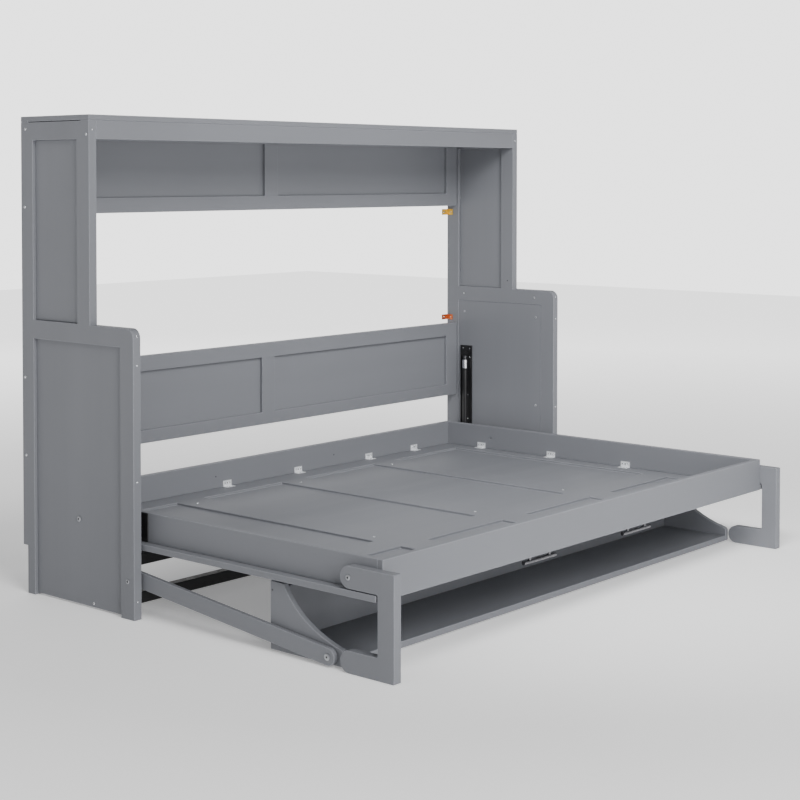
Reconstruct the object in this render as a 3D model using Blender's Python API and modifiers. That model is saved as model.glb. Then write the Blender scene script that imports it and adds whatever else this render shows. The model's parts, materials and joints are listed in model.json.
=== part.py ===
"""Fold-down wall bed with a desk under it, for a full-size mattress.

A painted cabinet stands against the wall. The bed frame turns on two bolts through its
sides. A desk hangs under the frame on hinges, and two link bars keep it level, so that
bolts, hinges and link ends form a parallelogram on each side.

Metres. X runs along the cabinet, -Y into the room, Z up. Inside the script, Y is measured
from the wall, and the root empty moves everything so that the origin is under the middle.
"""
import bpy
import bmesh
from math import cos, pi, radians, sin, tan
from mathutils import Matrix, Vector

# ---- driving dimensions -------------------------------------------------------------
WIDTH = 2.100            # cabinet, over its sides
HEIGHT = 1.458           # cabinet, floor to the top of the top board
DEPTH = 0.3254           # cabinet above the wings
WING_DEPTH = 0.519       # cabinet below the wings' tops
WING_HEIGHT = 0.840
FRAME_DEPTH = 1.4727     # wall to the front of the bed's legs
GAP = 0.0003             # between faces that touch
CHAMFER = 0.0012         # broken edges of painted boards
THROUGH = 0.010          # how far a cutter runs past the faces it cuts

SIDE_T = 0.028           # side frame
STILE = 0.0575           # rear stile of a side frame
WING_STILE_REAR = 0.4607         # front stile of the wing: its rear edge, from the wall
UPRIGHT_REAR = 0.2675            # front stile above the wing: its rear edge
MID_RAIL = (0.7845, 0.8410)      # rail between the two panels of a side
WING_CORNER_R = 0.028
TOP_NOTCH = (0.040, 0.036, 0.002)    # relief under the top board: front, rear, depth
SIDE_PANEL_Z = 0.005             # lower edge of the lower side panel
TOP_T = 0.016
FASCIA_H = 0.0562
BOARD_T = 0.018
SKIRTING = (0.0217, 0.1469)      # notch for the skirting board: depth, height

BACK_FACE = 0.047        # front face of the back boards, from the wall
BACK_FRAME_T = 0.012
BACK_STILE = 0.062
UPPER_BACK_Z = 1.1598
LOWER_BACK_Z = (0.4082, 0.6938)
UPPER_BACK = ((0.0487, 0.052), -0.018)   # widths of lower and upper rail, middle of the stile
LOWER_BACK = ((0.0423, 0.050), -0.034)

TUBE_Y = (-0.3900, -0.3555)      # black tubes between the sides
LOWER_TUBE_Z = (0.003, 0.0375)
UPPER_TUBE_Z = (0.118, 0.1525)
WALL_BRACKETS = (("upper", 1.1232, 0.023, "yellow"), ("lower", 0.7050, 0.020, "copper"))
WALL_EAR = (0.035, 0.0278, 0.002)    # wall bracket: leg on the wall, leg on the side, sheet

BED_HALF = 0.988         # outer half length of the bed's box
SILL_HALF = 1.016        # half length of the bed's floor board
BED_Y = (0.0308, 1.4113)         # rear and front faces of the box, from the wall
BED_Z = (0.198, 0.303)           # underside of the floor board, top of the rails
BED_FLOOR_T = 0.018
FIELD = (0.365, 0.483, 0.008)    # sunk fields of the floor: width, spacing, depth
FIELD_ROWS = ((-0.990, -0.135), (-1.345, -1.090))

PIVOT = (-0.2591, 0.2591)        # bed's bolts: y, z
LINK_PIVOT = (-0.4913, 0.1102)   # link bars' bolts on the wings
LINK_REACH = (-0.7519, -0.0820)  # from a link bar's rear bolt to its front bolt
DESK_PIVOT = (PIVOT[0] + LINK_REACH[0], PIVOT[1] + LINK_REACH[1])
LINK_END = (LINK_PIVOT[0] + LINK_REACH[0], LINK_PIVOT[1] + LINK_REACH[1])
LINK_W = 0.047
LINK_ARC_STEP = 15               # degrees between the points of a link bar's round end

LEG_BOLT = (-1.3182, 0.2488)
LEG_BAR = (0.0552, 0.059)        # leg's upright and its arms, across
LEG_CORNER = (0.003, 0.006, 0.004)   # radii: foot, inner corners, top
DESK_FRONT = 1.283
DESK_REAR = 1.018
DESK_Z = (0.004, 0.022)          # desk top: underside and upper face
DESK_BACK = (0.0255, 0.0075)     # rear and front face of its back board, behind the hinge axis
END_BOARD_RISE = 0.0129          # end boards rise this far over the hinge axis
END_BOARD_TOP = (0.0504, 0.0025)     # their upper edge: length, fall
END_BOARD_CURVE = ((-1.115, 0.095), (-1.262, 0.052))     # control point and end of the curve
END_BOARD_NOSE = (0.048, 0.012, 0.003)   # height, upper and lower radius at the front

PULL_X, PULL_Y = 0.2575, -1.374  # bar pulls: middle of each, from the middle and the wall
PULL_DROP = 0.0255               # from the underside of the floor to a bar's axis
PULL_R, PULL_HALF = 0.006, 0.078
PULL_POST = (0.0045, 0.048, 0.0252)  # posts: radius, distance from the middle, height

HINGE_X = (-0.70, 0.0, 0.70)
HINGE_HALF = 0.040
KNUCKLE_R = 0.006
KNUCKLE_HALF = 0.0130            # the desk's knuckle, in the gap of the bed's knuckles
KNUCKLE_GAP_HALF = 0.0135
LEAF_T = 0.002
LEAF_BELOW = (0.050, 0.007)      # the desk's leaf, below the hinge axis
UPPER_LEAF_Y = (0.0035, 0.045)   # the bed's leaf, in front of the hinge axis

STRUT_TOP = (-0.1045, 0.575)
STRUT_FOOT_Z = 0.235
STRUT_FOOT_HALF = 0.014
ROD_R = 0.005
ROD_START = 0.0075               # the rod starts this far under the middle of its eye
TUBE_R = 0.0095
TUBE_TOP = 0.530
BORE_FLOOR = 0.012               # thickness of the tube's closed end
ROD_CLEAR = 0.002                # between the rod and the floor of the bore
EYE_R, EYE_HALF = 0.010, 0.005
CHANNEL_Y = (-0.1265, -0.0730)
CHANNEL_Z = (0.270, 0.606)
CHANNEL_FLANGE, CHANNEL_SHEET = 0.0038, 0.003
CHANNEL_LIP_T = 0.0025

SIDE_IN = WIDTH / 2 - SIDE_T     # inner face of a side frame
PANEL_OUT = WIDTH / 2 - 0.0105   # outer face of the side panels
UPPER_PANEL_IN = PANEL_OUT - 0.007
LOWER_PANEL_IN = PANEL_OUT - 0.016
LINK_X = (WIDTH / 2 - 0.0495, WIDTH / 2 - 0.0355)
BRACKET_X = (WIDTH / 2 - 0.069, WIDTH / 2 - 0.052)
LEG_X = (BED_HALF + GAP, SILL_HALF)
STRUT_X = WIDTH / 2 - 0.045
SIDES = (("left", -1), ("right", 1))

PIVOT_R = 0.006                  # pivot bolts' shafts
PIVOT_HOLE = PIVOT_R + GAP
BOLT_R = 0.005                   # all other bolts' shafts
BOLT_HOLE = BOLT_R + GAP
PIVOT_HEAD = (0.0085, 0.0040)    # bolt heads: radius, height
WING_HEAD = (0.0068, 0.0022)
LEG_HEAD = (0.0078, 0.0032)
DESK_HEAD = (0.0095, 0.0035)
PLATE_T = 0.004                  # pivot plates on the side panels
PLATE_REACH = (0.050, 0.060, 0.036)  # from the pivot: to each side, down, up
STRAP_T = 0.003                  # straps on the bed's end rails
STRAP_Y = (-0.510, -0.2181)


# ---- scene, materials, helpers ------------------------------------------------------
for old in list(bpy.data.objects):
    bpy.data.objects.remove(old, do_unlink=True)

parts = bpy.data.collections.new("murphy_wall_bed")
cutters = bpy.data.collections.new("murphy_wall_bed_cutters")
for group in (parts, cutters):
    bpy.context.scene.collection.children.link(group)

FINISH = {
    "paint": ((0.235, 0.247, 0.262), 0.45, 0.0),
    "black": ((0.012, 0.012, 0.013), 0.42, 0.3),
    "zinc": ((0.62, 0.63, 0.64), 0.30, 1.0),
    "nickel": ((0.55, 0.54, 0.52), 0.28, 1.0),
    "chrome": ((0.78, 0.78, 0.79), 0.12, 1.0),
    "yellow": ((0.62, 0.42, 0.09), 0.38, 1.0),
    "copper": ((0.55, 0.24, 0.12), 0.40, 1.0),
}


def material(name, finish):
    colour, roughness, metallic = FINISH[finish]
    mat = bpy.data.materials.new(name)
    mat.use_nodes = True
    shader = mat.node_tree.nodes["Principled BSDF"]
    shader.inputs["Base Color"].default_value = (*colour, 1.0)
    shader.inputs["Roughness"].default_value = roughness
    shader.inputs["Metallic"].default_value = metallic
    mat.diffuse_color = (*colour, 1.0)
    return mat


AXES = {}


def axis_empty(name, y, z, parent=None):
    """An empty on a joint's axis, at x = 0."""
    empty = bpy.data.objects.new(name, None)
    empty.empty_display_size = 0.05
    parts.objects.link(empty)
    origin = (0.0, 0.0)
    if parent is not None:
        empty.parent = parent
        origin = AXES[parent.name]
    empty.location = (0.0, y - origin[0], z - origin[1])
    AXES[name] = (y, z)
    return empty


root = axis_empty("cabinet_origin", 0.0, 0.0)
root.location = (0.0, FRAME_DEPTH / 2, 0.0)
bed_axis = axis_empty("bed_axis", *PIVOT, parent=root)
desk_axis = axis_empty("desk_axis", *DESK_PIVOT, parent=bed_axis)
link_axis = {s: axis_empty("link_axis_" + n, *LINK_PIVOT, parent=root) for n, s in SIDES}
strut_axis = {s: axis_empty("strut_axis_" + n, *STRUT_TOP, parent=root) for n, s in SIDES}


def add(name, mesh, parent, finish=None, group=parts):
    """Put a mesh whose points are measured from the wall under its parent empty."""
    y, z = AXES[parent.name]
    mesh.transform(Matrix.Translation((0.0, -y, -z)))
    obj = bpy.data.objects.new(name, mesh)
    obj.parent = parent
    group.objects.link(obj)
    if finish:
        mesh.materials.append(material(name, finish))
    else:
        obj.hide_render = True
        obj.display_type = "WIRE"
    return obj


def chamfered(obj, width=CHAMFER):
    if width:
        bevel = obj.modifiers.new("broken_edges", "BEVEL")
        bevel.width = width
        bevel.segments = 1
        bevel.limit_method = "ANGLE"
        bevel.angle_limit = radians(40)
    return obj


def box_mesh(name, x, y, z):
    """A box from its ranges in x, y and z."""
    low = Vector((min(x), min(y), min(z)))
    high = Vector((max(x), max(y), max(z)))
    bm = bmesh.new()
    bmesh.ops.create_cube(bm, size=1.0)
    bmesh.ops.scale(bm, vec=high - low, verts=bm.verts)
    bmesh.ops.translate(bm, vec=(low + high) / 2, verts=bm.verts)
    mesh = bpy.data.meshes.new(name)
    bm.to_mesh(mesh)
    bm.free()
    return mesh


def box(name, x, y, z, parent=root, finish="paint", chamfer=CHAMFER):
    return chamfered(add(name, box_mesh(name, x, y, z), parent, finish), chamfer)


def cut_box(obj, x, y, z):
    """Take a box out of a piece; the cutter moves with it."""
    label = obj.name + "_cut"
    cutter = add(label, box_mesh(label, x, y, z), obj.parent, group=cutters)
    boolean(obj, cutter)


def rod_mesh(name, y, z, r, x, segments=24):
    """A round bar along X between two values of x."""
    bm = bmesh.new()
    bmesh.ops.create_cone(bm, cap_ends=True, segments=segments, radius1=r, radius2=r,
                          depth=abs(x[1] - x[0]))
    bmesh.ops.rotate(bm, cent=(0, 0, 0), matrix=Matrix.Rotation(pi / 2, 3, "Y"), verts=bm.verts)
    bmesh.ops.translate(bm, vec=((x[0] + x[1]) / 2, y, z), verts=bm.verts)
    mesh = bpy.data.meshes.new(name)
    bm.to_mesh(mesh)
    bm.free()
    return mesh


def post_mesh(name, x, y, r, z, segments=24):
    """A round bar standing between two values of z."""
    bm = bmesh.new()
    bmesh.ops.create_cone(bm, cap_ends=True, segments=segments, radius1=r, radius2=r,
                          depth=z[1] - z[0])
    bmesh.ops.translate(bm, vec=(x, y, (z[0] + z[1]) / 2), verts=bm.verts)
    mesh = bpy.data.meshes.new(name)
    bm.to_mesh(mesh)
    bm.free()
    return mesh


def drill(obj, y, z, r, side, inner, outer):
    """A round hole along X through a piece between two distances from the middle plane."""
    label = obj.name + "_hole"
    x = (side * (inner - THROUGH), side * (outer + THROUGH))
    cutter = add(label, rod_mesh(label, y, z, r, x), obj.parent, group=cutters)
    boolean(obj, cutter)


def join(obj, mesh):
    """Weld another solid onto a piece."""
    other = add(obj.name + "_boss", mesh, obj.parent, group=cutters)
    boolean(obj, other, "UNION")


def boolean(obj, other, operation="DIFFERENCE"):
    mod = obj.modifiers.new(operation.lower(), "BOOLEAN")
    mod.operation = operation
    mod.solver = "EXACT"
    mod.object = other


def rounded(corners):
    """Corner points (u, v) or (u, v, radius): rounded ones become arcs."""
    out = []
    for i, corner in enumerate(corners):
        here = Vector(corner[:2])
        if len(corner) < 3:
            out.append(here)
            continue
        back = (Vector(corners[i - 1][:2]) - here).normalized()
        ahead = (Vector(corners[(i + 1) % len(corners)][:2]) - here).normalized()
        half = back.angle(ahead) / 2
        middle = here + (back + ahead).normalized() * corner[2] / sin(half)
        start = here + back * corner[2] / tan(half) - middle
        turn = (pi - 2 * half) * (1 if back.cross(ahead) < 0 else -1)
        steps = max(3, round(abs(turn) / radians(15)))
        for k in range(steps + 1):
            point = start.copy()
            point.rotate(Matrix.Rotation(turn * k / steps, 2))
            out.append(middle + point)
    return out


def flat_mesh(name, loops, low, high, axis):
    """A board cut to an outline. loops[0] is the outside, the others are openings.

    axis "X": points are (y, z) and the board lies between x = low and high.
    axis "Y": points are (x, z). axis "Z": points are (x, y).
    """
    curve = bpy.data.curves.new(name + "_outline", "CURVE")
    curve.dimensions = "2D"
    curve.fill_mode = "BOTH"
    curve.extrude = (high - low) / 2
    for loop in loops:
        spline = curve.splines.new("POLY")
        spline.points.add(len(loop) - 1)
        for point, (u, v) in zip(spline.points, loop):
            point.co = (u, v, 0.0, 1.0)
        spline.use_cyclic_u = True
    guide = bpy.data.objects.new(name + "_outline", curve)
    cutters.objects.link(guide)
    seen = guide.evaluated_get(bpy.context.evaluated_depsgraph_get())
    mesh = bpy.data.meshes.new_from_object(seen)
    bpy.data.objects.remove(guide, do_unlink=True)
    mesh.name = name
    middle = (low + high) / 2
    turn = {"X": Matrix(((0, 0, 1, middle), (1, 0, 0, 0), (0, 1, 0, 0), (0, 0, 0, 1))),
            "Y": Matrix(((1, 0, 0, 0), (0, 0, -1, middle), (0, 1, 0, 0), (0, 0, 0, 1))),
            "Z": Matrix(((1, 0, 0, 0), (0, 1, 0, 0), (0, 0, 1, middle), (0, 0, 0, 1)))}[axis]
    mesh.transform(turn)
    bm = bmesh.new()
    bm.from_mesh(mesh)
    bmesh.ops.remove_doubles(bm, verts=bm.verts, dist=0.00001)
    bmesh.ops.recalc_face_normals(bm, faces=bm.faces)
    bmesh.ops.dissolve_limit(bm, angle_limit=radians(1), verts=bm.verts, edges=bm.edges)
    bm.to_mesh(mesh)
    bm.free()
    return mesh


def flat(name, loops, low, high, axis="X", parent=root, finish="paint", chamfer=CHAMFER):
    low, high = min(low, high), max(low, high)
    return chamfered(add(name, flat_mesh(name, loops, low, high, axis), parent, finish), chamfer)


def turned(name, side, y, z, profile, parent, finish, steps=24):
    """A bolt along X. Profile: (distance from the middle plane, radius), inner end first."""
    mesh = bpy.data.meshes.new(name)
    bm = bmesh.new()
    verts = [bm.verts.new((r, 0.0, x)) for x, r in profile]
    for a, b in zip(verts, verts[1:]):
        bm.edges.new((a, b))
    bm.to_mesh(mesh)
    bm.free()
    obj = bpy.data.objects.new(name, mesh)
    origin = AXES[parent.name]
    obj.parent = parent
    obj.location = (0.0, y - origin[0], z - origin[1])
    obj.rotation_euler = (0.0, side * pi / 2, 0.0)
    parts.objects.link(obj)
    mesh.materials.append(material(name, finish))
    screw = obj.modifiers.new("turned", "SCREW")
    screw.axis = "Z"
    screw.steps = screw.render_steps = steps
    screw.use_merge_vertices = True
    screw.merge_threshold = 0.00005
    screw.use_normal_calculate = True
    screw.use_smooth_shade = False
    return obj


def rect(u, v):
    return [(u[0], v[0]), (u[1], v[0]), (u[1], v[1]), (u[0], v[1])]


def bolt(inner, size, r_shaft, end):
    """Profile of a bolt: its low domed head starts at inner, and its shaft ends at end."""
    r_head, height = size
    outer = inner + height
    rise = height * 0.45
    return [(end, 0.0), (end, r_shaft), (inner, r_shaft), (inner, r_head),
            (outer - rise, r_head), (outer, r_head * 0.6), (outer, 0.0)]


# ---- cabinet ------------------------------------------------------------------------
side_top = HEIGHT - TOP_T - GAP
fascia_z = side_top - FASCIA_H
notch_d, notch_h = SKIRTING
relief_front, relief_rear, relief = TOP_NOTCH

side_outline = rounded([
    (-notch_d, 0.0), (-STILE, 0.0), (-STILE, MID_RAIL[0]), (-WING_STILE_REAR, MID_RAIL[0]),
    (-WING_STILE_REAR, 0.0), (-WING_DEPTH, 0.0), (-WING_DEPTH, WING_HEIGHT, WING_CORNER_R),
    (-DEPTH, WING_HEIGHT), (-DEPTH, side_top), (-DEPTH + relief_front, side_top),
    (-DEPTH + relief_front, side_top - relief), (-relief_rear, side_top - relief),
    (-relief_rear, side_top), (0.0, side_top), (0.0, notch_h), (-notch_d, notch_h)])
side_opening = rect((-UPRIGHT_REAR, -STILE), (MID_RAIL[1], fascia_z))

for label, s in SIDES:
    side = flat("side_frame_" + label, [side_outline, side_opening], s * SIDE_IN, s * WIDTH / 2)
    drill(side, *LINK_PIVOT, BOLT_HOLE, s, SIDE_IN, WIDTH / 2)
    box("side_panel_upper_" + label, (s * UPPER_PANEL_IN, s * PANEL_OUT),
        (-UPRIGHT_REAR + GAP, -STILE - GAP), (MID_RAIL[1] + GAP, fascia_z - GAP))
    lower = box("side_panel_lower_" + label, (s * LOWER_PANEL_IN, s * PANEL_OUT),
                (-WING_STILE_REAR + GAP, -STILE - GAP), (SIDE_PANEL_Z, MID_RAIL[0] - GAP))
    drill(lower, *PIVOT, PIVOT_HOLE, s, LOWER_PANEL_IN, PANEL_OUT)

box("top_board", (-WIDTH / 2, WIDTH / 2), (-DEPTH, 0.0), (HEIGHT - TOP_T, HEIGHT))
box("top_fascia", (-SIDE_IN + GAP, SIDE_IN - GAP), (-DEPTH, -DEPTH + BOARD_T),
    (fascia_z, side_top))


def back_board(name, z, rails, middle, stile=BACK_STILE):
    """A framed back board: one frame with two openings, and a panel behind it."""
    half = SIDE_IN - GAP
    opening = (z[0] + rails[0], z[1] - rails[1])
    left = rect((-half + stile, middle - stile / 2), opening)
    right = rect((middle + stile / 2, half - stile), opening)
    frame_rear = -BACK_FACE + BACK_FRAME_T
    flat(name + "_frame", [rect((-half, half), z), left, right], -BACK_FACE, frame_rear,
         axis="Y", chamfer=0.0008)
    box(name + "_panel", (-half, half), (frame_rear + GAP, -BACK_FACE + BOARD_T), z, chamfer=0)


back_board("upper_back", (UPPER_BACK_Z, side_top), *UPPER_BACK)
back_board("lower_back", LOWER_BACK_Z, *LOWER_BACK)

tube_x = LOWER_PANEL_IN - GAP
for name, z in (("lower_cross_tube", LOWER_TUBE_Z), ("upper_cross_tube", UPPER_TUBE_Z)):
    box(name, (-tube_x, tube_x), TUBE_Y, z, finish="black", chamfer=0.002)

wall_leg, side_leg, sheet = WALL_EAR
ear_rear = 0.0005                # the brackets' rear faces, from the wall
for label, s in SIDES:
    wall_x = SIDE_IN - GAP
    for level, z, height, finish in WALL_BRACKETS:
        ear = [(wall_x, ear_rear), (wall_x - wall_leg, ear_rear),
               (wall_x - wall_leg, ear_rear + sheet), (wall_x - sheet, ear_rear + sheet),
               (wall_x - sheet, ear_rear + side_leg), (wall_x, ear_rear + side_leg)]
        ear_outline = [(s * x, -y) for x, y in ear]
        flat("wall_bracket_%s_%s" % (level, label), [ear_outline], z, z + height, axis="Z",
             finish=finish, chamfer=0)

# ---- bed ----------------------------------------------------------------------------
bed_rear, bed_front = -BED_Y[0], -BED_Y[1]
floor_top = BED_Z[0] + BED_FLOOR_T
rail_z = (floor_top + GAP, BED_Z[1])
inner_front = bed_front + BOARD_T + GAP

floor_outline = [
    (-SILL_HALF, bed_rear), (-SILL_HALF, bed_front), (-BED_HALF - GAP, bed_front),
    (-BED_HALF - GAP, inner_front), (BED_HALF + GAP, inner_front), (BED_HALF + GAP, bed_front),
    (SILL_HALF, bed_front), (SILL_HALF, bed_rear)]
floor = flat("bed_floor", [floor_outline], BED_Z[0], floor_top, axis="Z", parent=bed_axis,
             chamfer=0)
field_w, field_pitch, field_depth = FIELD
for k in range(4):
    centre = (k - 1.5) * field_pitch
    for row in FIELD_ROWS:
        cut_box(floor, (centre - field_w / 2, centre + field_w / 2), row,
                (floor_top - field_depth, floor_top + THROUGH))
chamfered(floor)

box("bed_front_rail", (-BED_HALF, BED_HALF), (bed_front, bed_front + BOARD_T),
    (BED_Z[0] - 0.001, BED_Z[1]), parent=bed_axis)
box("bed_rear_rail", (-BED_HALF, BED_HALF), (bed_rear - BOARD_T, bed_rear), rail_z,
    parent=bed_axis)
for label, s in SIDES:
    end = box("bed_end_rail_" + label, (s * (BED_HALF - BOARD_T), s * BED_HALF),
              (inner_front, bed_rear - BOARD_T - GAP), rail_z, parent=bed_axis)
    drill(end, *PIVOT, PIVOT_HOLE, s, BED_HALF - BOARD_T, BED_HALF)

# A leg is a C cut from one board: an arm on the rail, an upright, and a foot.
upright, arm = LEG_BAR
leg_top = LEG_BOLT[1] + arm / 2
leg_front = -FRAME_DEPTH
leg_end = LEG_BOLT[0] + arm / 2
leg_inner = leg_front + upright
half_round = arm / 2 - 0.00005   # just under half, so that the two arcs don't meet in a point
foot_r, inner_r, top_r = LEG_CORNER
leg_outline = rounded([
    (leg_front, 0.0, foot_r), (leg_end, 0.0, half_round), (leg_end, arm, half_round),
    (leg_inner, arm, inner_r), (leg_inner, leg_top - arm, inner_r),
    (leg_end, leg_top - arm, half_round), (leg_end, leg_top, half_round),
    (leg_front, leg_top, top_r)])
for label, s in SIDES:
    leg = flat("leg_" + label, [leg_outline], s * LEG_X[0], s * LEG_X[1], parent=bed_axis)
    drill(leg, *LEG_BOLT, BOLT_HOLE, s, *LEG_X)
    turned("leg_bolt_" + label, s, *LEG_BOLT,
           bolt(LEG_X[1] + GAP, LEG_HEAD, BOLT_R, LEG_X[0] + 0.001), bed_axis, "zinc")

# Bar pulls on the underside, 96 mm between posts.
post_r, post_x, post_h = PULL_POST
pull_z = BED_Z[0] - PULL_DROP
for label, s in SIDES:
    x = s * PULL_X
    bar = rod_mesh("pull", PULL_Y, pull_z, PULL_R, (x - PULL_HALF, x + PULL_HALF), 20)
    pull = add("pull_handle_" + label, bar, bed_axis, "nickel")
    for shift in (-post_x, post_x):
        join(pull, post_mesh("post", x + shift, PULL_Y, post_r, (pull_z, pull_z + post_h), 16))

# ---- pivots of the bed --------------------------------------------------------------
# A steel plate on each side panel, and a longer one that stiffens the bed's end rail.
plate_x = (LOWER_PANEL_IN - GAP - PLATE_T, LOWER_PANEL_IN - GAP)
strap_x = (BED_HALF + GAP, BED_HALF + GAP + STRAP_T)
plate_side, plate_down, plate_up = PLATE_REACH
for label, s in SIDES:
    plate = box("pivot_plate_" + label, (s * plate_x[0], s * plate_x[1]),
                (PIVOT[0] - plate_side, PIVOT[0] + plate_side),
                (PIVOT[1] - plate_down, PIVOT[1] + plate_up), finish="black", chamfer=0.001)
    drill(plate, *PIVOT, PIVOT_HOLE, s, *plate_x)
    strap = box("bed_pivot_plate_" + label, (s * strap_x[0], s * strap_x[1]), STRAP_Y,
                (rail_z[0] + 0.001, BED_Z[1] - 0.002), parent=bed_axis, finish="black",
                chamfer=0.0008)
    drill(strap, *PIVOT, PIVOT_HOLE, s, *strap_x)
    turned("pivot_bolt_" + label, s, *PIVOT,
           bolt(PANEL_OUT + GAP, PIVOT_HEAD, PIVOT_R, BED_HALF - BOARD_T + 0.001), root, "zinc")

# ---- desk ---------------------------------------------------------------------------
desk_rear, desk_front = -DESK_REAR, -DESK_FRONT
inside = BRACKET_X[0] - GAP
board_y = (DESK_PIVOT[0] - DESK_BACK[0], DESK_PIVOT[0] - DESK_BACK[1])


def curve_through(a, b, c, steps=10):
    """Quadratic curve from a to c with control point b."""
    a, b, c = Vector(a), Vector(b), Vector(c)
    return [a * (1 - t) ** 2 + b * 2 * t * (1 - t) + c * t ** 2
            for t in (k / steps for k in range(steps + 1))]


bracket_top = DESK_PIVOT[1] + END_BOARD_RISE
shoulder = (desk_rear - END_BOARD_TOP[0], bracket_top - END_BOARD_TOP[1])
control, curve_end = END_BOARD_CURVE
nose_h, nose_r, toe_r = END_BOARD_NOSE
bracket_outline = [Vector((desk_rear, DESK_Z[0])), Vector((desk_rear, bracket_top))]
bracket_outline += curve_through(shoulder, control, curve_end)
bracket_outline += rounded([curve_end, (desk_front, nose_h, nose_r),
                            (desk_front, DESK_Z[0], toe_r), (desk_rear, DESK_Z[0])])[1:-1]
for label, s in SIDES:
    bracket = flat("desk_bracket_" + label, [bracket_outline], s * BRACKET_X[0],
                   s * BRACKET_X[1], parent=desk_axis)
    drill(bracket, *LINK_END, BOLT_HOLE, s, BRACKET_X[1] - 0.003, BRACKET_X[1])
box("desk_top", (-inside, inside), (desk_front + 0.001, desk_rear), DESK_Z, parent=desk_axis)
box("desk_back_board", (-inside, inside), board_y, (DESK_Z[1] + GAP, DESK_PIVOT[1] - 0.009),
    parent=desk_axis)

# Butt hinges: the knuckles are on the desk's axis, one leaf on the back board and one
# under the bed. The desk's knuckle is between the bed's two.
hy, hz = DESK_PIVOT
lower_leaf_y = (board_y[1] + GAP, board_y[1] + GAP + LEAF_T)
under = BED_Z[0] - GAP
for k, x in enumerate(HINGE_X):
    knuckle_x = (x - KNUCKLE_HALF, x + KNUCKLE_HALF)
    leaf_x = (x - HINGE_HALF, x + HINGE_HALF)
    gap_x = (x - KNUCKLE_GAP_HALF, x + KNUCKLE_GAP_HALF)
    low = add("desk_hinge_lower_%d" % (k + 1), rod_mesh("knuckle", hy, hz, KNUCKLE_R, knuckle_x, 20),
              desk_axis, "black")
    join(low, box_mesh("neck", knuckle_x, lower_leaf_y, (hz - 0.010, hz - 0.001)))
    join(low, box_mesh("leaf", leaf_x, lower_leaf_y, (hz - LEAF_BELOW[0], hz - LEAF_BELOW[1])))
    up = add("desk_hinge_upper_%d" % (k + 1), rod_mesh("knuckle", hy, hz, KNUCKLE_R, leaf_x, 20),
             bed_axis, "black")
    cut_box(up, gap_x, (hy - 0.02, hy + 0.02), (hz - 0.02, hz + 0.02))
    web_y = (hy + UPPER_LEAF_Y[0], hy + UPPER_LEAF_Y[0] + LEAF_T)
    for web_x in ((leaf_x[0], gap_x[0]), (gap_x[1], leaf_x[1])):
        join(up, box_mesh("web", web_x, web_y, (hz, under - LEAF_T / 2)))
    join(up, box_mesh("leaf", leaf_x, (web_y[0], hy + UPPER_LEAF_Y[1]), (under - LEAF_T, under)))

# ---- link bars ----------------------------------------------------------------------
along = Vector(LINK_REACH).normalized()


def bar_end(centre, direction):
    """Half a circle round one end of a bar, bulging in the given direction."""
    across = Vector((-direction.y, direction.x))
    turns = [radians(angle) for angle in range(-90, 91, LINK_ARC_STEP)]
    return [Vector(centre) + (direction * cos(a) + across * sin(a)) * LINK_W / 2 for a in turns]


link_outline = bar_end(LINK_END, along) + bar_end(LINK_PIVOT, -along)
for label, s in SIDES:
    link = flat("link_bar_" + label, [link_outline], s * LINK_X[0], s * LINK_X[1],
                parent=link_axis[s])
    for y, z in (LINK_PIVOT, LINK_END):
        drill(link, y, z, BOLT_HOLE, s, *LINK_X)
    turned("link_wing_bolt_" + label, s, *LINK_PIVOT,
           bolt(WIDTH / 2 + GAP, WING_HEAD, BOLT_R, LINK_X[0] + 0.001), root, "zinc")
    turned("link_desk_bolt_" + label, s, *LINK_END,
           bolt(LINK_X[1] + GAP, DESK_HEAD, BOLT_R, BRACKET_X[1] - 0.012), desk_axis, "zinc")

# ---- gas struts ---------------------------------------------------------------------
sy, sz = STRUT_TOP
bore_end = STRUT_FOOT_Z + BORE_FLOOR
web = (LOWER_PANEL_IN - GAP - CHANNEL_SHEET, LOWER_PANEL_IN - GAP)
lip = web[0] - CHANNEL_FLANGE
rear, front = CHANNEL_Y[1], CHANNEL_Y[0]
channel_profile = [(web[1], front), (web[1], rear), (lip, rear), (lip, rear - CHANNEL_LIP_T),
                   (web[0], rear - CHANNEL_LIP_T), (web[0], front + CHANNEL_LIP_T),
                   (lip, front + CHANNEL_LIP_T), (lip, front)]
for label, s in SIDES:
    channel = flat("strut_channel_" + label, [[(s * x, y) for x, y in channel_profile]],
                   *CHANNEL_Z, axis="Z", finish="black", chamfer=0)
    stud_x = (s * (web[0] + 0.001), s * (STRUT_X - EYE_HALF - 0.002))
    join(channel, rod_mesh("stud", sy, sz, BOLT_R, stud_x, 20))

    eye_x = (s * (STRUT_X - EYE_HALF), s * (STRUT_X + EYE_HALF))
    rod = add("strut_rod_" + label, rod_mesh("eye", sy, sz, EYE_R, eye_x, 20), strut_axis[s],
              "chrome")
    join(rod, post_mesh("stem", s * STRUT_X, sy, ROD_R, (bore_end + ROD_CLEAR, sz - ROD_START), 20))
    drill(rod, sy, sz, BOLT_HOLE, s, STRUT_X, STRUT_X)

    tube = add("strut_tube_" + label,
               post_mesh("tube", s * STRUT_X, sy, TUBE_R, (STRUT_FOOT_Z, TUBE_TOP)),
               strut_axis[s], "black")
    bore = post_mesh("bore", s * STRUT_X, sy, ROD_R + GAP, (bore_end, TUBE_TOP + THROUGH))
    boolean(tube, add("strut_bore_" + label, bore, strut_axis[s], group=cutters))
    box("strut_foot_" + label, (s * (BED_HALF + GAP), s * (STRUT_X - TUBE_R - 0.001)),
        (sy - STRUT_FOOT_HALF, sy + STRUT_FOOT_HALF), (rail_z[0] + GAP, STRUT_FOOT_Z + 0.020),
        parent=bed_axis, finish="black", chamfer=0.001)

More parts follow.
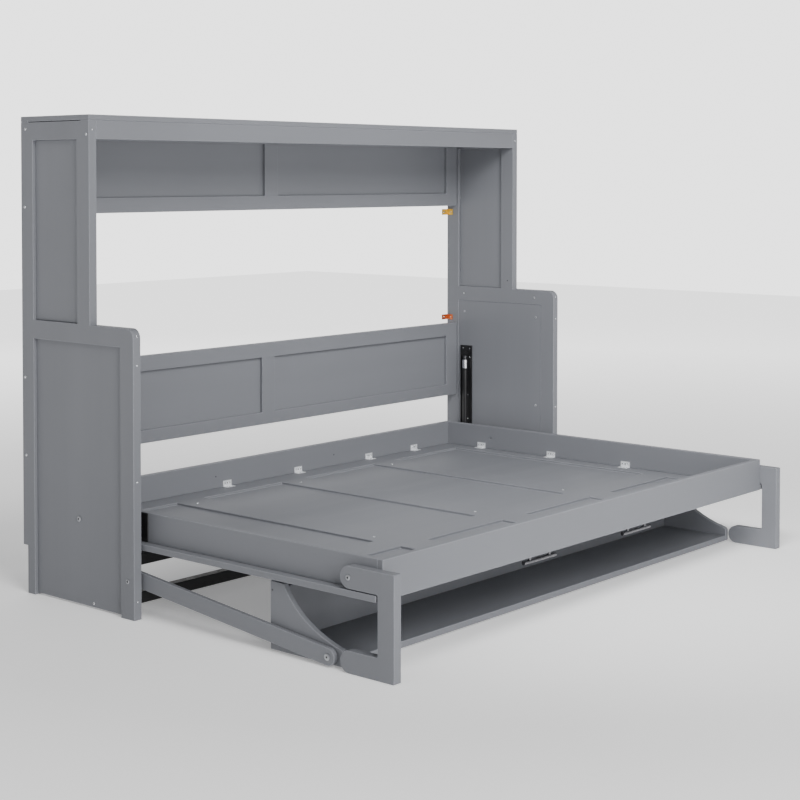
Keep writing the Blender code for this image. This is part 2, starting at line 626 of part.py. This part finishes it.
for obj in parts.objects:
    if obj.type == "MESH" and len(obj.data.polygons) > 0:
        obj.data.shade_smooth()
        obj.data.set_sharp_from_angle(angle=radians(30))
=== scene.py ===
"""Looks of the fold-down wall bed: paint, metals, screws, brackets, light and camera.

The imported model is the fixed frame, and this script adds the finishes and the small
hardware to it. Metres; X along the cabinet, -Y into the room, Z up.
"""
import json
from math import cos, pi, radians, sin

import bmesh
import bpy
from mathutils import Matrix, Vector


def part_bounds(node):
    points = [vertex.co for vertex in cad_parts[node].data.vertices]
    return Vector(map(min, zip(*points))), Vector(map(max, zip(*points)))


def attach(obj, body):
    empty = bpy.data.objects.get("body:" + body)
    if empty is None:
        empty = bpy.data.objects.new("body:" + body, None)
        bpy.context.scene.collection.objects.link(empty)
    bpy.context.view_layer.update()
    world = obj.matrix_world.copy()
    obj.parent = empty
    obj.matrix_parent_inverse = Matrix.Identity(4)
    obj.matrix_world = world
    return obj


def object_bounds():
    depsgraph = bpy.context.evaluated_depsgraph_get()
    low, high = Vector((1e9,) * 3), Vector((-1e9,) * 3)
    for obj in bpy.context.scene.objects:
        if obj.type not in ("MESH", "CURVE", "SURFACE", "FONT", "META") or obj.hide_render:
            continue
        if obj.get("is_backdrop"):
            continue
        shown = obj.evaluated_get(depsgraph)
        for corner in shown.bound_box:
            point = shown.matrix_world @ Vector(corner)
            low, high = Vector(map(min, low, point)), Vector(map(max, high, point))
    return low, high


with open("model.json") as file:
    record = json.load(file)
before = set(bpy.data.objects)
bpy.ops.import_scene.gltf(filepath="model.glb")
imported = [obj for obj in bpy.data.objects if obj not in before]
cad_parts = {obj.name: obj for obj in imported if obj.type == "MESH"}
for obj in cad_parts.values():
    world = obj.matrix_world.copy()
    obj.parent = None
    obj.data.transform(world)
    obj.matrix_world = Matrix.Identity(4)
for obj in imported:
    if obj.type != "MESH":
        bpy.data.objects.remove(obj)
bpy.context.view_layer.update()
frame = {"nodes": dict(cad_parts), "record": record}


def part_box(node):
    low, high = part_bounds(node)
    return Vector(low), Vector(high)


# ---- places taken from the frame ----------------------------------------------------
side_low, side_high = part_box("side_frame_right")
OUTER = side_high.x                      # outer face of the right side
INNER = side_low.x                       # its inner face
WALL = side_high.y                       # rear edge, against the wall
WING_FRONT = side_low.y
UPRIGHT_FRONT = part_box("top_fascia")[0].y
PANEL_IN, PANEL_OUT = (corner.x for corner in part_box("side_panel_lower_right"))
floor_low, floor_high = part_box("bed_floor")
END_RAIL_IN = part_box("bed_end_rail_right")[0].x
REAR_RAIL_IN = part_box("bed_rear_rail")[0].y
FRONT_RAIL_IN = part_box("bed_front_rail")[1].y


# ---- materials ----------------------------------------------------------------------
class Nodes:
    """A short way to build a node tree."""

    def __init__(self, name):
        self.mat = bpy.data.materials.new(name)
        self.mat.use_nodes = True
        self.tree = self.mat.node_tree
        self.shader = self.tree.nodes["Principled BSDF"]
        self.coords = self.add("ShaderNodeTexCoord").outputs["Object"]

    def add(self, kind, **values):
        node = self.tree.nodes.new(kind)
        for key, value in values.items():
            setattr(node, key, value)
        return node

    def link(self, source, target):
        self.tree.links.new(source, target)

    def noise(self, scale, detail=3.0, stretch=(1.0, 1.0, 1.0), roughness=0.5, offset=0.0):
        place = self.add("ShaderNodeMapping")
        place.inputs["Scale"].default_value = stretch
        place.inputs["Location"].default_value = (offset, offset * 0.7, offset * 1.3)
        self.link(self.coords, place.inputs["Vector"])
        node = self.add("ShaderNodeTexNoise")
        node.inputs["Scale"].default_value = scale
        node.inputs["Detail"].default_value = detail
        node.inputs["Roughness"].default_value = roughness
        self.link(place.outputs["Vector"], node.inputs["Vector"])
        return node.outputs["Fac"]

    def ramp(self, source, low, high, to_low, to_high):
        node = self.add("ShaderNodeMapRange")
        node.inputs["From Min"].default_value = low
        node.inputs["From Max"].default_value = high
        node.inputs["To Min"].default_value = to_low
        node.inputs["To Max"].default_value = to_high
        self.link(source, node.inputs["Value"])
        return node.outputs["Result"]

    def blend(self, factor, first, second):
        node = self.add("ShaderNodeMix", data_type="RGBA")
        for socket, value in ((node.inputs[6], first), (node.inputs[7], second)):
            socket.default_value = (*value, 1.0)
        self.link(factor, node.inputs["Factor"])
        return node.outputs[2]

    def painted_edge_highlight(self, colour, highlight_colour):
        """The colour with its sharp edges blended towards another one: a painted highlight
        along the edges.
        """
        bevel = self.add("ShaderNodeBevel", samples=4)
        bevel.inputs["Radius"].default_value = EDGE_RADIUS
        flat = self.add("ShaderNodeNewGeometry").outputs["Normal"]
        match = self.add("ShaderNodeVectorMath", operation="DOT_PRODUCT")
        self.link(bevel.outputs["Normal"], match.inputs[0])
        self.link(flat, match.inputs[1])
        edge = self.ramp(match.outputs["Value"], *EDGE_MATCH, 0.0, 1.0)
        node = self.add("ShaderNodeMix", data_type="RGBA")
        self.link(edge, node.inputs["Factor"])
        self.link(colour, node.inputs[6])
        node.inputs[7].default_value = (*highlight_colour, 1.0)
        return node.outputs[2]

    def bump(self, height, distance, strength=1.0, under=None):
        node = self.add("ShaderNodeBump")
        node.inputs["Distance"].default_value = distance
        node.inputs["Strength"].default_value = strength
        self.link(height, node.inputs["Height"])
        if under is not None:
            self.link(under, node.inputs["Normal"])
        return node.outputs["Normal"]

    def wire(self, **sockets):
        for key, source in sockets.items():
            self.link(source, self.shader.inputs[key.replace("_", " ")])

    def set(self, **sockets):
        for key, value in sockets.items():
            self.shader.inputs[key.replace("_", " ")].default_value = value


def shade(colour, factor):
    return tuple(c * factor for c in colour)


PAINT = (0.172, 0.178, 0.195)
PAINT_CLOUDS = (0.96, 1.04)   # darkest and palest shade of the paint over a board
EDGE_HIGHLIGHT_TINT = 1.7          # how much paler the paint is along the edges: painted highlight
EDGE_RADIUS = 0.0022     # how far the painted edge highlight reaches from an edge
EDGE_MATCH = (0.995, 0.86)    # cosine between rounded and flat normal: no highlight, full highlight


def paint(name, stretch):
    """Satin paint on wood: the grain and the roller's texture show through a little."""
    n = Nodes(name)
    grain = n.noise(36.0, detail=5.0, stretch=stretch, roughness=0.62)
    peel = n.noise(520.0, detail=2.0)
    cloud = n.noise(2.6, detail=3.0, offset=4.0)
    streak = n.noise(9.0, detail=4.0, stretch=stretch, offset=2.0)
    mixed = n.add("ShaderNodeMath", operation="MULTIPLY_ADD")
    n.link(cloud, mixed.inputs[0])
    mixed.inputs[1].default_value = 0.6
    n.link(n.ramp(streak, 0.3, 0.7, 0.0, 0.4), mixed.inputs[2])
    tone = n.ramp(mixed.outputs[0], 0.25, 0.75, 0.0, 1.0)
    board = n.blend(tone, *(shade(PAINT, factor) for factor in PAINT_CLOUDS))
    # The paint turns paler along every edge: a painted highlight.
    n.wire(Base_Color=n.painted_edge_highlight(board, shade(PAINT, EDGE_HIGHLIGHT_TINT)),
           Roughness=n.ramp(n.noise(14.0, detail=4.0, stretch=stretch, offset=7.0),
                            0.3, 0.7, 0.53, 0.57),
           Normal=n.bump(grain, 0.0005, 0.3, under=n.bump(peel, 0.00012, 0.6)))
    n.set(Specular_IOR_Level=0.36)
    return n.mat


def powder_coat():
    n = Nodes("black_powder_coat")
    tone = n.ramp(n.noise(8.0, detail=4.0), 0.3, 0.7, 0.0, 1.0)
    n.wire(Base_Color=n.blend(tone, (0.006, 0.006, 0.007), (0.014, 0.014, 0.015)),
           Roughness=n.ramp(n.noise(60.0, detail=3.0, offset=3.0), 0.3, 0.7, 0.34, 0.48),
           Normal=n.bump(n.noise(900.0, detail=2.0), 0.00015, 0.7))
    return n.mat


def plated(name, colour, tint, roughness, stretch=(1.0, 1.0, 1.0), metallic=1.0):
    """Plated or brushed metal with a faint change of colour over its surface."""
    n = Nodes(name)
    tone = n.ramp(n.noise(70.0, detail=4.0), 0.35, 0.65, 0.0, 1.0)
    lines = n.noise(420.0, detail=3.0, stretch=stretch, offset=5.0)
    n.wire(Base_Color=n.blend(tone, colour, tint),
           Roughness=n.ramp(lines, 0.3, 0.7, roughness * 0.8, roughness * 1.25),
           Normal=n.bump(lines, 0.00008, 0.5))
    n.set(Metallic=metallic)
    return n.mat


def strut_rod(split, blur=0.0004):
    """Polished rod whose upper end, above the height split, is black."""
    n = Nodes("polished_rod_with_black_end")
    height = n.add("ShaderNodeSeparateXYZ")
    n.link(n.coords, height.inputs[0])
    black = n.ramp(height.outputs["Z"], split - blur, split + blur, 0.0, 1.0)
    lines = n.noise(420.0, detail=3.0, stretch=ALONG["z"], offset=5.0)
    n.wire(Base_Color=n.blend(black, (0.80, 0.80, 0.82), (0.012, 0.012, 0.013)),
           Metallic=n.ramp(black, 0.0, 1.0, 1.0, 0.0),
           Roughness=n.ramp(black, 0.0, 1.0, 0.12, 0.42),
           Normal=n.bump(lines, 0.00006, 0.4))
    return n.mat


# Near-black for the hollows of screw heads, sockets and holes: painted shade.
def recess_black():
    n = Nodes("recess_black")
    tone = n.ramp(n.noise(300.0, detail=2.0), 0.3, 0.7, 0.0, 1.0)
    n.wire(Base_Color=n.blend(tone, (0.012, 0.012, 0.013), (0.028, 0.028, 0.030)))
    n.set(Roughness=0.8)
    return n.mat


ALONG = {"x": (0.05, 1.0, 1.0), "y": (1.0, 0.05, 1.0), "z": (1.0, 1.0, 0.05)}
GRAIN = {axis: paint("satin_paint_grain_" + axis, ALONG[axis]) for axis in "xyz"}
BLACK = powder_coat()
ZINC = plated("bright_zinc", (0.93, 0.94, 0.95), (0.82, 0.86, 0.91), 0.26)
WHITE_ZINC = plated("white_zinc", (0.92, 0.93, 0.94), (0.80, 0.83, 0.87), 0.45,
                    metallic=0.55)
DULL_ZINC = plated("dull_zinc", (0.50, 0.51, 0.53), (0.36, 0.37, 0.40), 0.42)
NICKEL = plated("brushed_nickel", (0.17, 0.17, 0.18), (0.13, 0.13, 0.14), 0.30,
                ALONG["x"])
CHROME = plated("polished_steel", (0.80, 0.80, 0.82), (0.76, 0.77, 0.80), 0.16,
                ALONG["z"])

# The ends of the struts: tops of the tube, of the band on it and of the rod's fitting.
TUBE_TOP = part_box("strut_tube_right")[1].z
BAND_TOP = TUBE_TOP + 0.021
FITTING_TOP = TUBE_TOP + 0.038
FITTING_GAP = 0.005      # between the band and the fitting
BLACK_SINK = 0.004       # the rod's black end starts this far inside the band
ROD = strut_rod(BAND_TOP - BLACK_SINK)
YELLOW = plated("yellow_zinc", (0.74, 0.46, 0.07), (0.66, 0.52, 0.16), 0.34)
COPPER = plated("coppered_steel", (0.66, 0.25, 0.10), (0.56, 0.20, 0.09), 0.36)
RECESS_SHADE = recess_black()
METALS = {"black_steel": BLACK, "zinc_plate": DULL_ZINC, "brushed_nickel": NICKEL,
          "chrome_rod": ROD, "yellow_zinc": YELLOW, "copper_plate": COPPER}
GRAIN_OF = {"side": "z", "leg": "z", "bed_end": "y", "link": "y", "desk_bracket": "z"}


def grain_of(node):
    for start, axis in GRAIN_OF.items():
        if node.startswith(start):
            return axis
    return "x"


for entry in frame["record"]["subparts"]:
    node = entry["node"]
    finish = METALS.get(entry["material_slot"]) or GRAIN[grain_of(node)]
    mesh = frame["nodes"][node].data
    mesh.materials.clear()
    mesh.materials.append(finish)


# ---- small hardware -----------------------------------------------------------------
def solid(name, bm, material, smooth=True):
    mesh = bpy.data.meshes.new(name)
    bmesh.ops.recalc_face_normals(bm, faces=bm.faces)
    bm.to_mesh(mesh)
    bm.free()
    mesh.materials.append(material)
    if smooth:
        mesh.shade_smooth()
        mesh.set_sharp_from_angle(angle=radians(35))
    return mesh


def ring(bm, radius, height, count=20):
    return [bm.verts.new((radius * cos(2 * pi * k / count), radius * sin(2 * pi * k / count),
                          height)) for k in range(count)]


def skin(bm, rings):
    """Quads between neighbouring rings, with both ends closed."""
    for low, high in zip(rings, rings[1:]):
        for k, vert in enumerate(low):
            after = (k + 1) % len(low)
            bm.faces.new((vert, low[after], high[after], high[k]))
    bm.faces.new(list(reversed(rings[0])))
    bm.faces.new(rings[-1])


def cross_head(name, radius, rise, material):
    """A domed screw head with a cross recess, standing on z = 0; the recess walls carry
    painted shade.
    """
    bm = bmesh.new()
    profile = [(radius, -0.0004), (radius, rise * 0.25), (radius * 0.9, rise * 0.6),
               (radius * 0.66, rise * 0.88), (radius * 0.36, rise)]
    skin(bm, [ring(bm, r, z) for r, z in profile])
    head = bpy.data.objects.new(name, solid(name, bm, material))
    cutter_bm = bmesh.new()
    for turn in (0, pi / 2):
        made = bmesh.ops.create_cube(cutter_bm, size=1.0)["verts"]
        bmesh.ops.scale(cutter_bm, vec=(radius * 1.15, radius * 0.24, rise), verts=made)
        bmesh.ops.rotate(cutter_bm, matrix=Matrix.Rotation(turn, 3, "Z"), verts=made)
        bmesh.ops.translate(cutter_bm, vec=(0, 0, rise), verts=made)
    cross = bpy.data.objects.new(name + "_cross", solid("cross", cutter_bm, RECESS_SHADE))
    for obj in (head, cross):
        bpy.context.scene.collection.objects.link(obj)
    cut = head.modifiers.new("cross", "BOOLEAN")
    cut.object = cross
    cut.use_self = True
    cut.solver = "EXACT"
    cut.material_mode = "TRANSFER"
    seen = head.evaluated_get(bpy.context.evaluated_depsgraph_get())
    mesh = bpy.data.meshes.new_from_object(seen)
    for obj in (head, cross):
        bpy.data.objects.remove(obj)
    return mesh


SCREW = cross_head("screw_head", 0.0042, 0.0017, ZINC)
SMALL_SCREW = cross_head("small_screw_head", 0.0030, 0.0013, ZINC)
used = {}


def place(stem, mesh, at, out, body, slot, turn=0.0):
    """One copy of a mesh whose +z side looks along out."""
    used[stem] = used.get(stem, 0) + 1
    obj = bpy.data.objects.new("%s_%02d" % (stem, used[stem]), mesh)
    bpy.context.scene.collection.objects.link(obj)
    facing = Vector(out).to_track_quat("Z", "Y").to_matrix().to_4x4()
    obj.matrix_world = Matrix.Translation(at) @ facing @ Matrix.Rotation(turn, 4, "Z")
    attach(obj, body)
    return obj


def screw(at, out, body="cabinet", mesh=None):
    count = sum(used.values())
    return place("screw", mesh or SCREW, at, out, body, "zinc_plate", turn=count * 0.9)


def pin_cap(radius):
    """A near-black disc a hair proud of the paint: painted shade of a hole."""
    bm = bmesh.new()
    skin(bm, [ring(bm, radius, -0.0004, 16), ring(bm, radius, 0.0001, 16),
              ring(bm, radius * 0.85, 0.0002, 16)])
    return solid("pin_cap", bm, RECESS_SHADE)


PIN = pin_cap(0.0024)


def hex_socket(radius):
    """The dark hexagon of a socket head: painted shade in place of the socket's hollow."""
    bm = bmesh.new()
    skin(bm, [ring(bm, radius, -0.0003, 6), ring(bm, radius, 0.00012, 6)])
    return solid("hex_socket", bm, RECESS_SHADE, smooth=False)


SOCKET = hex_socket(0.0034)

SIDES = (("left", -1), ("right", 1))

# Screws and pins on the sides: distance from the wall, height.
OUTER_SCREWS = ((0.023, 1.420), (0.3136, 1.400), (0.0183, 1.183), (0.0145, 0.6634),
                (0.0173, 0.424))
FRAME_IN_SCREWS = ((0.4287, 0.811), (0.0852, 0.813))
FRAME_IN_PINS = ((0.2999, 0.871),)
PANEL_IN_SCREWS = ((0.4341, 0.7356), (0.4353, 0.3963), (0.0883, 0.7413))
EDGE_SCREWS = (0.818, 0.735, 0.398, 0.053)    # heights on the wings' front edges
CHANNEL_SCREWS = ((0.0830, 0.594), (0.1165, 0.594), (0.1165, 0.560), (0.1060, 0.411),
                  (0.1060, 0.316), (0.0830, 0.300))
CHANNEL_SHEET = 0.003    # from the channel's far face to its near one
PANEL_FOOT_SCREW = (0.3247, 0.0165)   # outside, at the foot of the lower panels
UPRIGHT_SCREW_Z = 1.4136          # near the top of the uprights' front edges
DESK_PINS = (0.165, 0.040)        # heights on the desk's end boards
DESK_PIN_INSET = 0.008            # from their rear edges
WALL_BRACKET_SHEET = 0.0020       # the heads stand on this thickness
WALL_BRACKET_SCREW = (0.018, 0.022)   # from the wall, and from the side
PLAY = 0.0003            # gap between the wall bracket and the side
BOLTS = (("leg_bolt_", "bed"), ("link_desk_bolt_", "desk"),
         ("link_wing_bolt_", "cabinet"), ("pivot_bolt_", "cabinet"))

for label, s in SIDES:
    out = (s, 0, 0)
    inward = (-s, 0, 0)
    for y, z in OUTER_SCREWS:
        screw((s * OUTER, WALL - y, z), out)
    screw((s * PANEL_OUT, WALL - PANEL_FOOT_SCREW[0], PANEL_FOOT_SCREW[1]), out)
    for y, z in FRAME_IN_SCREWS:
        screw((s * INNER, WALL - y, z), inward)
    for y, z in PANEL_IN_SCREWS:
        screw((s * PANEL_IN, WALL - y, z), inward)
    for y, z in FRAME_IN_PINS:
        place("pin", PIN, (s * INNER, WALL - y, z), inward, "cabinet", "black_steel")
    middle = s * (OUTER + INNER) / 2
    for z in EDGE_SCREWS:
        screw((middle, WING_FRONT, z), (0, -1, 0), mesh=SMALL_SCREW)
    screw((middle, UPRIGHT_FRONT, UPRIGHT_SCREW_Z), (0, -1, 0), mesh=SMALL_SCREW)
    web = part_box("strut_channel_" + label)
    web_face = s * (max(abs(web[0].x), abs(web[1].x)) - CHANNEL_SHEET)
    for y, z in CHANNEL_SCREWS:
        screw((web_face, WALL - y, z), inward, mesh=SMALL_SCREW)
    for node, body in BOLTS:
        low, high = part_box(node + label)
        centre = (low + high) / 2
        tip = high.x if s > 0 else low.x
        place("socket", SOCKET, (tip, centre.y, centre.z), out, body, "black_steel")
    bracket = part_box("desk_bracket_" + label)
    face = bracket[1].x if s > 0 else bracket[0].x
    for z in DESK_PINS:
        place("pin", PIN, (face, bracket[1].y - DESK_PIN_INSET, z), out, "desk",
              "black_steel")
    for level in ("upper", "lower"):
        low, high = part_box("wall_bracket_%s_%s" % (level, label))
        z = (low.z + high.z) / 2
        on_side = s * (INNER - WALL_BRACKET_SHEET - PLAY)
        screw((on_side, high.y - WALL_BRACKET_SCREW[0], z), inward, mesh=SMALL_SCREW)
        screw((s * (INNER - WALL_BRACKET_SCREW[1]), high.y - WALL_BRACKET_SHEET, z),
              (0, -1, 0), mesh=SMALL_SCREW)

# ---- struts: a bright band round each tube's top, and the grey fitting above it -----
SLIDE = 0.0001           # clearance of a ring round what it sits on
BAND = 0.034             # height of the band
BAND_SHEET = 0.0007
BAND_ROUND = 0.0009      # rounding of its top edge
BAND_BORE = 0.0062       # the rod runs through this
ROD_RADIUS = 0.005
FITTING_SHEET = 0.0009
FLANGE = (0.0020, 0.007)          # thickness and height of the fitting's foot
FLANGE_SLOPE = 0.001              # height of the step above the foot
CHAMFER = 0.0006


def collar(name, profile, material, count=28):
    """A ring turned from a closed profile of (radius, height) points."""
    bm = bmesh.new()
    rings = [ring(bm, r, z, count) for r, z in profile]
    for low, high in zip(rings, rings[1:] + rings[:1]):
        for k, vert in enumerate(low):
            after = (k + 1) % count
            bm.faces.new((vert, low[after], high[after], high[k]))
    return solid(name, bm, material)


def tube_band(radius):
    """A cap over the tube's end: a sleeve outside it and a thick rim above it."""
    fit, out, top = radius + SLIDE, radius + BAND_SHEET, BAND_TOP
    seat = TUBE_TOP + 2 * SLIDE
    return collar("tube_band", [
        (fit, top - BAND), (out, top - BAND + 4 * SLIDE), (out, top - BAND_ROUND),
        (out - BAND_ROUND, top), (BAND_BORE, top), (BAND_BORE, seat), (fit, seat)], CHROME)


def rod_fitting(radius):
    """The sleeve round the rod's upper end, with a wider foot."""
    low, high = BAND_TOP + FITTING_GAP, FITTING_TOP
    fit, out, foot_out = radius + SLIDE, radius + FITTING_SHEET, radius + FLANGE[0]
    return collar("rod_fitting", [
        (fit, low), (foot_out, low + CHAMFER), (foot_out, low + FLANGE[1]),
        (out, low + FLANGE[1] + FLANGE_SLOPE), (out, high - CHAMFER), (fit, high)], NICKEL)


tube_low, tube_high = part_box("strut_tube_right")
BAND_MESH = tube_band((tube_high.x - tube_low.x) / 2)
FITTING_MESH = rod_fitting(ROD_RADIUS)
for label, s in SIDES:
    low, high = part_box("strut_tube_" + label)
    foot = ((low.x + high.x) / 2, (low.y + high.y) / 2, 0.0)
    place("strut_band", BAND_MESH, foot, (0, 0, 1), "strut_tube_" + label, "chrome_rod")
    place("strut_fitting", FITTING_MESH, foot, (0, 0, 1), "strut_rod_" + label,
          "black_steel")

# ---- angle brackets between the deck and its rails ----------------------------------
BRACKET = {"length": 0.038, "leg": 0.021, "thick": 0.0016}
BRACKET_SEAT = 0.0002    # gap between the sheet and the boards
HOLE_PLACE = 0.58        # how far along a leg its holes are
HOLE_SHIFTS = (-0.011, 0.011)     # of the two screws, along the bracket
BEND_STEPS = [radians(10 + 14 * k) for k in range(6)]


def angle_bracket():
    """An L of sheet metal with rounded bend, its corner along x at the origin."""
    bm = bmesh.new()
    length, leg, thick = BRACKET["length"], BRACKET["leg"], BRACKET["thick"]
    radius, centre = thick * 1.5, thick * 2.6
    bend = [(centre - sin(a) * radius, centre - cos(a) * radius) for a in BEND_STEPS]
    outline = [(BRACKET_SEAT, BRACKET_SEAT), (leg, BRACKET_SEAT), (leg, thick), *bend,
               (thick, leg), (BRACKET_SEAT, leg)]
    skin(bm, [[bm.verts.new((x, y, z)) for y, z in outline]
              for x in (-length / 2, length / 2)])
    return solid("angle_bracket", bm, WHITE_ZINC)


ANGLE = angle_bracket()


def fit_angle(corner, off_rail):
    """An angle bracket on the deck, with its other leg on the rail."""
    used["angle"] = used.get("angle", 0) + 1
    obj = bpy.data.objects.new("angle_bracket_%02d" % used["angle"], ANGLE)
    bpy.context.scene.collection.objects.link(obj)
    corner, off, up = Vector(corner), Vector(off_rail), Vector((0, 0, 1))
    x_axis = off.cross(up)
    turn = Matrix((x_axis, off, up)).transposed().to_4x4()
    obj.matrix_world = Matrix.Translation(corner) @ turn
    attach(obj, "bed")
    mid, thick = BRACKET["leg"] * HOLE_PLACE, BRACKET["thick"]
    on_deck, on_rail = off * mid + up * thick, off * thick + up * mid
    # Near-black discs on the bracket's legs: painted shade of its holes.
    place("slot", PIN, corner + on_deck, up, "bed", "black_steel")
    place("slot", PIN, corner + on_rail, off, "bed", "black_steel")
    for shift in HOLE_SHIFTS:
        base = corner + x_axis * shift
        screw(base + on_deck, up, "bed", SMALL_SCREW)
        screw(base + on_rail, off, "bed", SMALL_SCREW)


DECK = floor_high.z
LONG_RAIL_ANGLES = (-0.238, 0.111, 0.492, 0.755, -0.755)      # along X
END_RAIL_ANGLES = (0.215, 0.546, 0.877)       # from the wall
RAIL_PINS = (-0.29, 0.30)         # along X
RAIL_PIN_RISE = 0.040             # above the deck
FIELD_PITCH = 0.483      # spacing of the deck's fields
DECK_SCREW_SHIFT = 0.020          # how far left of the joint of two fields
DECK_SCREW_ROWS = (0.190, 0.955)  # from the wall

for x in LONG_RAIL_ANGLES:
    fit_angle((x, REAR_RAIL_IN, DECK), (0, -1, 0))
    fit_angle((x, FRONT_RAIL_IN, DECK), (0, 1, 0))
for y in END_RAIL_ANGLES:
    for label, s in SIDES:
        fit_angle((s * END_RAIL_IN, WALL - y, DECK), (-s, 0, 0))

# Pins on the rear rail, and the screws beside the deck's fields.
for x in RAIL_PINS:
    place("pin", PIN, (x, REAR_RAIL_IN, DECK + RAIL_PIN_RISE), (0, -1, 0), "bed",
          "black_steel")
for k in (-1, 0, 1):
    for y in DECK_SCREW_ROWS:
        screw((k * FIELD_PITCH - DECK_SCREW_SHIFT, WALL - y, DECK), (0, 0, 1), "bed")

# Collars where the pulls' posts meet the board.
POST_SPACING = 0.096
COLLAR_IN, COLLAR_OUT = 0.0046, 0.0066        # radii
COLLAR_LOW, COLLAR_HIGH = -0.0044, -0.0004    # below the board
POST_COLLAR = collar("post_collar", [
    (COLLAR_IN, COLLAR_LOW), (COLLAR_OUT - CHAMFER, COLLAR_LOW),
    (COLLAR_OUT, COLLAR_LOW + CHAMFER), (COLLAR_OUT, COLLAR_HIGH),
    (COLLAR_IN, COLLAR_HIGH)], ZINC, 20)
for label, s in SIDES:
    low, high = part_box("pull_handle_" + label)
    for shift in (-POST_SPACING / 2, POST_SPACING / 2):
        foot = ((low.x + high.x) / 2 + shift, (low.y + high.y) / 2, floor_low.z)
        place("post_collar", POST_COLLAR, foot, (0, 0, 1), "bed", "zinc_plate")

# Screws that hold the back panels to their frames.
BACK_SCREWS = 7          # in each row
BACK_INSET_X, BACK_INSET_Z = 0.04, 0.022
for board in ("upper_back", "lower_back"):
    low, high = part_box(board + "_panel")
    span = high.x - low.x - 2 * BACK_INSET_X
    for z in (low.z + BACK_INSET_Z, high.z - BACK_INSET_Z):
        for k in range(BACK_SCREWS):
            x = low.x + BACK_INSET_X + k * span / (BACK_SCREWS - 1)
            screw((x, high.y, z), (0, 1, 0), mesh=SMALL_SCREW)

# ---- floor, lights, camera ----------------------------------------------------------
GLOW_REACH = (1.6, 7.0)  # the floor's own light grows between these distances
GLOW = (0.24, 1.6)       # its strength at either end
GROUND_REACH = 12.0
GROUND_DROP = 0.0005     # below the object's feet
pale = Nodes("pale_ground")
pale.wire(Base_Color=pale.blend(pale.noise(0.8), (0.90, 0.90, 0.90), (0.92, 0.92, 0.92)))
away = pale.add("ShaderNodeVectorMath", operation="LENGTH")
pale.link(pale.coords, away.inputs[0])
pale.wire(Emission_Strength=pale.ramp(away.outputs["Value"], *GLOW_REACH, *GLOW))
pale.set(Roughness=0.9, Emission_Color=(1.0, 1.0, 1.0, 1.0))
bm = bmesh.new()
bmesh.ops.create_grid(bm, x_segments=1, y_segments=1, size=GROUND_REACH)
ground = bpy.data.objects.new("ground", solid("ground", bm, pale.mat, smooth=False))
ground.location.z = -GROUND_DROP
bpy.context.scene.collection.objects.link(ground)
ground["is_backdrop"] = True

# Each light: name, place, the point that it looks at, size, power in watts.
LIGHTS = (
    ("front_key", (-3.3, -6.9, 5.1), (0.0, 0.0, 0.5), (3.0, 3.0), 460),
    ("low_front", (-2.2, -5.4, 1.0), (0.2, -0.5, 0.4), (2.4, 1.2), 100),
    ("bed_fill", (-0.8, -1.2, 2.3), (0.6, -0.4, 0.3), (1.2, 0.7), 17),
    ("rear_soft", (3.0, 5.6, 3.8), (0.0, 0.4, 0.7), (7.0, 4.0), 130),
)
BED_FILL_SPREAD = radians(85)


def area_light(name, place_at, look_at, size, power):
    data = bpy.data.lights.new(name, "AREA")
    data.shape = "RECTANGLE"
    data.size, data.size_y = size
    data.energy = power
    obj = bpy.data.objects.new(name, data)
    bpy.context.scene.collection.objects.link(obj)
    obj.location = place_at
    aim = Vector(look_at) - Vector(place_at)
    obj.rotation_euler = aim.to_track_quat("-Z", "Y").to_euler()
    return obj


lamps = {row[0]: area_light(*row) for row in LIGHTS}
lamps["bed_fill"].data.spread = BED_FILL_SPREAD
lamps["bed_fill"].visible_camera = False

AMBIENT = 0.41           # strength of the light from all round
BACKDROP = 2.6           # how bright the camera sees it

world = bpy.data.worlds.new("studio")
world.use_nodes = True
sky = world.node_tree
soft = sky.nodes["Background"]
backdrop = sky.nodes.new("ShaderNodeBackground")
for shader, strength in ((soft, AMBIENT), (backdrop, BACKDROP)):
    shader.inputs["Color"].default_value = (1.0, 1.0, 1.0, 1.0)
    shader.inputs["Strength"].default_value = strength
seen_directly = sky.nodes.new("ShaderNodeLightPath")
either = sky.nodes.new("ShaderNodeMixShader")
sky.links.new(seen_directly.outputs["Is Camera Ray"], either.inputs[0])
sky.links.new(soft.outputs[0], either.inputs[1])
sky.links.new(backdrop.outputs[0], either.inputs[2])
sky.links.new(either.outputs[0], sky.nodes["World Output"].inputs["Surface"])
bpy.context.scene.world = world

CAMERA_PLACE = (-4.121, WALL - 4.1455, 1.2759)
CAMERA_TURN = (radians(88.202), 0.0, radians(-49.058))
CAMERA_LENS = 74.23      # mm, on a sensor 36 mm wide
CAMERA_SHIFT = (0.0154, -0.2146)

lens = bpy.data.cameras.new("camera")
lens.lens = CAMERA_LENS
lens.sensor_width = 36.0
lens.shift_x, lens.shift_y = CAMERA_SHIFT
camera = bpy.data.objects.new("camera", lens)
camera.location = CAMERA_PLACE
camera.rotation_euler = CAMERA_TURN
bpy.context.scene.collection.objects.link(camera)
bpy.context.scene.camera = camera

low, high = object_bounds()
